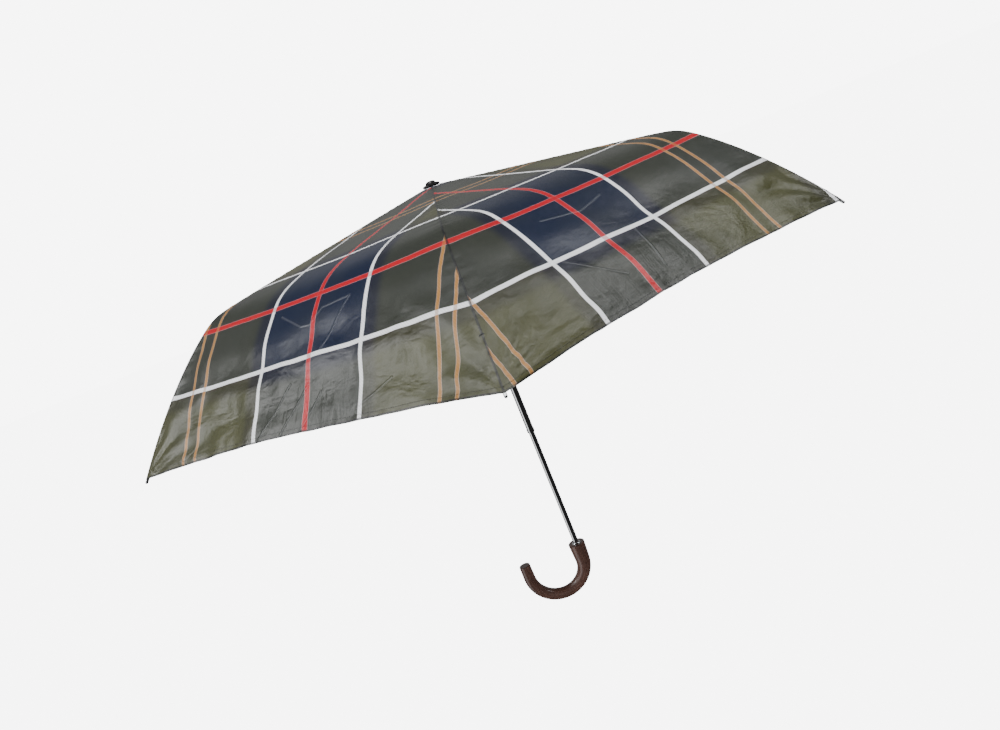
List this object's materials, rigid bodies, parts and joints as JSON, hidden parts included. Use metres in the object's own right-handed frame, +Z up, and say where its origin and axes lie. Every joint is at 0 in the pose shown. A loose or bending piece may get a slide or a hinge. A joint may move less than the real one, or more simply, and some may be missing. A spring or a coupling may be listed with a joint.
{
  "type": "folding umbrella",
  "caption": "Open folding umbrella with a tartan cloth canopy, three-fold ribs, telescopic chromed shaft, sliding runner and brown crook handle.",
  "frame": {"origin": "on the shaft's axis at the top of the crook handle", "axes": "+Z runs up the shaft to the canopy's peak, the crook curves towards -X, and one rib points to -Y"},
  "size_m": [0.8176, 0.9438, 0.6393],
  "materials": {
    "tartan_cloth": "satin tartan weave",
    "strap_cloth": "plain dark weave",
    "handle_wood": "dark stained, satin lacquer",
    "tube_chrome": "polished",
    "bright_metal": "polished",
    "black_plastic": "moulded, semi-gloss",
    "black_steel": "black enamel",
    "tip_metal": "bright nickel",
    "steel_wire": "drawn wire"
  },
  "bodies": {
    "handle": {"crook_handle": "handle_wood", "handle_collar": "bright_metal", "handle_pin": "steel_wire", "lower_tube": "tube_chrome"},
    "lower_catch": {"lower_catch": "steel_wire"},
    "middle_tube": {"middle_tube": "tube_chrome", "middle_ferrule": "bright_metal"},
    "middle_catch": {"middle_catch": "steel_wire"},
    "upper_tube": {"upper_tube": "tube_chrome", "upper_ferrule": "bright_metal", "crown_hub": "black_plastic", "crown_wire": "steel_wire", "top_cap": "black_plastic", "canopy_gore_1": "tartan_cloth", "canopy_gore_2": "tartan_cloth", "canopy_gore_3": "tartan_cloth", "canopy_gore_4": "tartan_cloth", "canopy_gore_5": "tartan_cloth", "canopy_gore_6": "tartan_cloth", "closing_strap": "strap_cloth"},
    "runner": {"runner": "black_plastic", "runner_wire": "steel_wire"},
    "runner_catch": {"runner_catch": "black_plastic"},
    "inner_rib_1": {"inner_rib_1": "black_steel"},
    "stretcher_1": {"stretcher_1": "black_steel"},
    "middle_rib_1": {"middle_rib_1": "black_steel"},
    "tie_wire_1": {"tie_wire_1": "steel_wire"},
    "outer_rib_1": {"outer_rib_1": "black_steel", "rib_tip_1": "tip_metal"},
    "inner_rib_2": {"inner_rib_2": "black_steel"},
    "stretcher_2": {"stretcher_2": "black_steel"},
    "middle_rib_2": {"middle_rib_2": "black_steel"},
    "tie_wire_2": {"tie_wire_2": "steel_wire"},
    "outer_rib_2": {"outer_rib_2": "black_steel", "rib_tip_2": "tip_metal"},
    "inner_rib_3": {"inner_rib_3": "black_steel"},
    "stretcher_3": {"stretcher_3": "black_steel"},
    "middle_rib_3": {"middle_rib_3": "black_steel"},
    "tie_wire_3": {"tie_wire_3": "steel_wire"},
    "outer_rib_3": {"outer_rib_3": "black_steel", "rib_tip_3": "tip_metal"},
    "inner_rib_4": {"inner_rib_4": "black_steel"},
    "stretcher_4": {"stretcher_4": "black_steel"},
    "middle_rib_4": {"middle_rib_4": "black_steel"},
    "tie_wire_4": {"tie_wire_4": "steel_wire"},
    "outer_rib_4": {"outer_rib_4": "black_steel", "rib_tip_4": "tip_metal"},
    "inner_rib_5": {"inner_rib_5": "black_steel"},
    "stretcher_5": {"stretcher_5": "black_steel"},
    "middle_rib_5": {"middle_rib_5": "black_steel"},
    "tie_wire_5": {"tie_wire_5": "steel_wire"},
    "outer_rib_5": {"outer_rib_5": "black_steel", "rib_tip_5": "tip_metal"},
    "inner_rib_6": {"inner_rib_6": "black_steel"},
    "stretcher_6": {"stretcher_6": "black_steel"},
    "middle_rib_6": {"middle_rib_6": "black_steel"},
    "tie_wire_6": {"tie_wire_6": "steel_wire"},
    "outer_rib_6": {"outer_rib_6": "black_steel", "rib_tip_6": "tip_metal"}
  },
  "joints": [
    {"name": "lower_catch_press", "type": "slide", "parent": "handle", "child": "lower_catch", "axis": [-1, 0, 0], "range_m": [0, 0.001], "stiffness_N_per_m": 300},
    {"name": "middle_slide", "type": "slide", "parent": "handle", "child": "middle_tube", "axis": [0, 0, -1], "range_m": [0, 0.15]},
    {"name": "middle_catch_press", "type": "slide", "parent": "middle_tube", "child": "middle_catch", "axis": [-1, 0, 0], "range_m": [0, 0.001], "stiffness_N_per_m": 300},
    {"name": "upper_slide", "type": "slide", "parent": "middle_tube", "child": "upper_tube", "axis": [0, 0, -1], "range_m": [0, 0.154]},
    {"name": "runner_slide", "type": "slide", "parent": "upper_tube", "child": "runner", "axis": [0, 0, -1], "range_m": [0, 0.11806], "deforming": ["canopy_gore_1", "canopy_gore_2", "canopy_gore_3", "canopy_gore_4", "canopy_gore_5", "canopy_gore_6", "closing_strap"]},
    {"name": "runner_catch_press", "type": "slide", "parent": "runner", "child": "runner_catch", "axis": [-1, 0, 0], "range_m": [0, 0.001], "stiffness_N_per_m": 400},
    {"name": "crown_hinge_1", "type": "hinge", "parent": "upper_tube", "child": "inner_rib_1", "pos_m": [0, -0.009, 0.547], "axis": [1, 0, 0], "range_deg": [0, 78.18]},
    {"name": "stretcher_hinge_1", "type": "hinge", "parent": "inner_rib_1", "child": "stretcher_1", "pos_m": [0, -0.08779, 0.53273], "axis": [1, 0, 0], "range_deg": [-145.2, 0]},
    {"name": "knee_hinge_1", "type": "hinge", "parent": "inner_rib_1", "child": "middle_rib_1", "pos_m": [0, -0.17125, 0.5265], "axis": [1, 0, 0], "range_deg": [-179.97, 0]},
    {"name": "tie_hinge_1", "type": "hinge", "parent": "inner_rib_1", "child": "tie_wire_1", "pos_m": [0, -0.16406, 0.52567], "axis": [1, 0, 0], "range_deg": [-179.97, 0]},
    {"name": "shoulder_hinge_1", "type": "hinge", "parent": "middle_rib_1", "child": "outer_rib_1", "pos_m": [0, -0.33263, 0.49501], "axis": [1, 0, 0], "range_deg": [0, 146.76]},
    {"name": "crown_hinge_2", "type": "hinge", "parent": "upper_tube", "child": "inner_rib_2", "pos_m": [0.00779, -0.0045, 0.547], "axis": [0.5, 0.866, 0], "range_deg": [0, 78.18]},
    {"name": "stretcher_hinge_2", "type": "hinge", "parent": "inner_rib_2", "child": "stretcher_2", "pos_m": [0.07603, -0.0439, 0.53273], "axis": [0.5, 0.866, 0], "range_deg": [-145.2, 0]},
    {"name": "knee_hinge_2", "type": "hinge", "parent": "inner_rib_2", "child": "middle_rib_2", "pos_m": [0.1483, -0.08562, 0.5265], "axis": [0.5, 0.866, 0], "range_deg": [-179.97, 0]},
    {"name": "tie_hinge_2", "type": "hinge", "parent": "inner_rib_2", "child": "tie_wire_2", "pos_m": [0.14208, -0.08203, 0.52567], "axis": [0.5, 0.866, 0], "range_deg": [-179.97, 0]},
    {"name": "shoulder_hinge_2", "type": "hinge", "parent": "middle_rib_2", "child": "outer_rib_2", "pos_m": [0.28807, -0.16632, 0.49501], "axis": [0.5, 0.866, 0], "range_deg": [0, 146.76]},
    {"name": "crown_hinge_3", "type": "hinge", "parent": "upper_tube", "child": "inner_rib_3", "pos_m": [0.00779, 0.0045, 0.547], "axis": [-0.5, 0.866, 0], "range_deg": [0, 78.18]},
    {"name": "stretcher_hinge_3", "type": "hinge", "parent": "inner_rib_3", "child": "stretcher_3", "pos_m": [0.07603, 0.0439, 0.53273], "axis": [-0.5, 0.866, 0], "range_deg": [-145.2, 0]},
    {"name": "knee_hinge_3", "type": "hinge", "parent": "inner_rib_3", "child": "middle_rib_3", "pos_m": [0.1483, 0.08562, 0.5265], "axis": [-0.5, 0.866, 0], "range_deg": [-179.97, 0]},
    {"name": "tie_hinge_3", "type": "hinge", "parent": "inner_rib_3", "child": "tie_wire_3", "pos_m": [0.14208, 0.08203, 0.52567], "axis": [-0.5, 0.866, 0], "range_deg": [-179.97, 0]},
    {"name": "shoulder_hinge_3", "type": "hinge", "parent": "middle_rib_3", "child": "outer_rib_3", "pos_m": [0.28807, 0.16632, 0.49501], "axis": [-0.5, 0.866, 0], "range_deg": [0, 146.76]},
    {"name": "crown_hinge_4", "type": "hinge", "parent": "upper_tube", "child": "inner_rib_4", "pos_m": [0, 0.009, 0.547], "axis": [-1, 0, 0], "range_deg": [0, 78.18]},
    {"name": "stretcher_hinge_4", "type": "hinge", "parent": "inner_rib_4", "child": "stretcher_4", "pos_m": [0, 0.08779, 0.53273], "axis": [-1, 0, 0], "range_deg": [-145.2, 0]},
    {"name": "knee_hinge_4", "type": "hinge", "parent": "inner_rib_4", "child": "middle_rib_4", "pos_m": [0, 0.17125, 0.5265], "axis": [-1, 0, 0], "range_deg": [-179.97, 0]},
    {"name": "tie_hinge_4", "type": "hinge", "parent": "inner_rib_4", "child": "tie_wire_4", "pos_m": [0, 0.16406, 0.52567], "axis": [-1, 0, 0], "range_deg": [-179.97, 0]},
    {"name": "shoulder_hinge_4", "type": "hinge", "parent": "middle_rib_4", "child": "outer_rib_4", "pos_m": [0, 0.33263, 0.49501], "axis": [-1, 0, 0], "range_deg": [0, 146.76]},
    {"name": "crown_hinge_5", "type": "hinge", "parent": "upper_tube", "child": "inner_rib_5", "pos_m": [-0.00779, 0.0045, 0.547], "axis": [-0.5, -0.866, 0], "range_deg": [0, 78.18]},
    {"name": "stretcher_hinge_5", "type": "hinge", "parent": "inner_rib_5", "child": "stretcher_5", "pos_m": [-0.07603, 0.0439, 0.53273], "axis": [-0.5, -0.866, 0], "range_deg": [-145.2, 0]},
    {"name": "knee_hinge_5", "type": "hinge", "parent": "inner_rib_5", "child": "middle_rib_5", "pos_m": [-0.1483, 0.08562, 0.5265], "axis": [-0.5, -0.866, 0], "range_deg": [-179.97, 0]},
    {"name": "tie_hinge_5", "type": "hinge", "parent": "inner_rib_5", "child": "tie_wire_5", "pos_m": [-0.14208, 0.08203, 0.52567], "axis": [-0.5, -0.866, 0], "range_deg": [-179.97, 0]},
    {"name": "shoulder_hinge_5", "type": "hinge", "parent": "middle_rib_5", "child": "outer_rib_5", "pos_m": [-0.28807, 0.16632, 0.49501], "axis": [-0.5, -0.866, 0], "range_deg": [0, 146.76]},
    {"name": "crown_hinge_6", "type": "hinge", "parent": "upper_tube", "child": "inner_rib_6", "pos_m": [-0.00779, -0.0045, 0.547], "axis": [0.5, -0.866, 0], "range_deg": [0, 78.18]},
    {"name": "stretcher_hinge_6", "type": "hinge", "parent": "inner_rib_6", "child": "stretcher_6", "pos_m": [-0.07603, -0.0439, 0.53273], "axis": [0.5, -0.866, 0], "range_deg": [-145.2, 0]},
    {"name": "knee_hinge_6", "type": "hinge", "parent": "inner_rib_6", "child": "middle_rib_6", "pos_m": [-0.1483, -0.08562, 0.5265], "axis": [0.5, -0.866, 0], "range_deg": [-179.97, 0]},
    {"name": "tie_hinge_6", "type": "hinge", "parent": "inner_rib_6", "child": "tie_wire_6", "pos_m": [-0.14208, -0.08203, 0.52567], "axis": [0.5, -0.866, 0], "range_deg": [-179.97, 0]},
    {"name": "shoulder_hinge_6", "type": "hinge", "parent": "middle_rib_6", "child": "outer_rib_6", "pos_m": [-0.28807, -0.16632, 0.49501], "axis": [0.5, -0.866, 0], "range_deg": [0, 146.76]}
  ],
  "couplings": [
    {"joint": "crown_hinge_1", "follows": "runner_slide", "rad_per_m": 11.556},
    {"joint": "stretcher_hinge_1", "follows": "runner_slide", "rad_per_m": -21.464},
    {"joint": "knee_hinge_1", "follows": "runner_slide", "rad_per_m": -26.604},
    {"joint": "tie_hinge_1", "follows": "runner_slide", "rad_per_m": -26.604},
    {"joint": "shoulder_hinge_1", "follows": "runner_slide", "rad_per_m": 21.694},
    {"joint": "crown_hinge_2", "follows": "runner_slide", "rad_per_m": 11.556},
    {"joint": "stretcher_hinge_2", "follows": "runner_slide", "rad_per_m": -21.464},
    {"joint": "knee_hinge_2", "follows": "runner_slide", "rad_per_m": -26.604},
    {"joint": "tie_hinge_2", "follows": "runner_slide", "rad_per_m": -26.604},
    {"joint": "shoulder_hinge_2", "follows": "runner_slide", "rad_per_m": 21.694},
    {"joint": "crown_hinge_3", "follows": "runner_slide", "rad_per_m": 11.556},
    {"joint": "stretcher_hinge_3", "follows": "runner_slide", "rad_per_m": -21.464},
    {"joint": "knee_hinge_3", "follows": "runner_slide", "rad_per_m": -26.604},
    {"joint": "tie_hinge_3", "follows": "runner_slide", "rad_per_m": -26.604},
    {"joint": "shoulder_hinge_3", "follows": "runner_slide", "rad_per_m": 21.694},
    {"joint": "crown_hinge_4", "follows": "runner_slide", "rad_per_m": 11.556},
    {"joint": "stretcher_hinge_4", "follows": "runner_slide", "rad_per_m": -21.464},
    {"joint": "knee_hinge_4", "follows": "runner_slide", "rad_per_m": -26.604},
    {"joint": "tie_hinge_4", "follows": "runner_slide", "rad_per_m": -26.604},
    {"joint": "shoulder_hinge_4", "follows": "runner_slide", "rad_per_m": 21.694},
    {"joint": "crown_hinge_5", "follows": "runner_slide", "rad_per_m": 11.556},
    {"joint": "stretcher_hinge_5", "follows": "runner_slide", "rad_per_m": -21.464},
    {"joint": "knee_hinge_5", "follows": "runner_slide", "rad_per_m": -26.604},
    {"joint": "tie_hinge_5", "follows": "runner_slide", "rad_per_m": -26.604},
    {"joint": "shoulder_hinge_5", "follows": "runner_slide", "rad_per_m": 21.694},
    {"joint": "crown_hinge_6", "follows": "runner_slide", "rad_per_m": 11.556},
    {"joint": "stretcher_hinge_6", "follows": "runner_slide", "rad_per_m": -21.464},
    {"joint": "knee_hinge_6", "follows": "runner_slide", "rad_per_m": -26.604},
    {"joint": "tie_hinge_6", "follows": "runner_slide", "rad_per_m": -26.604},
    {"joint": "shoulder_hinge_6", "follows": "runner_slide", "rad_per_m": 21.694}
  ]
}
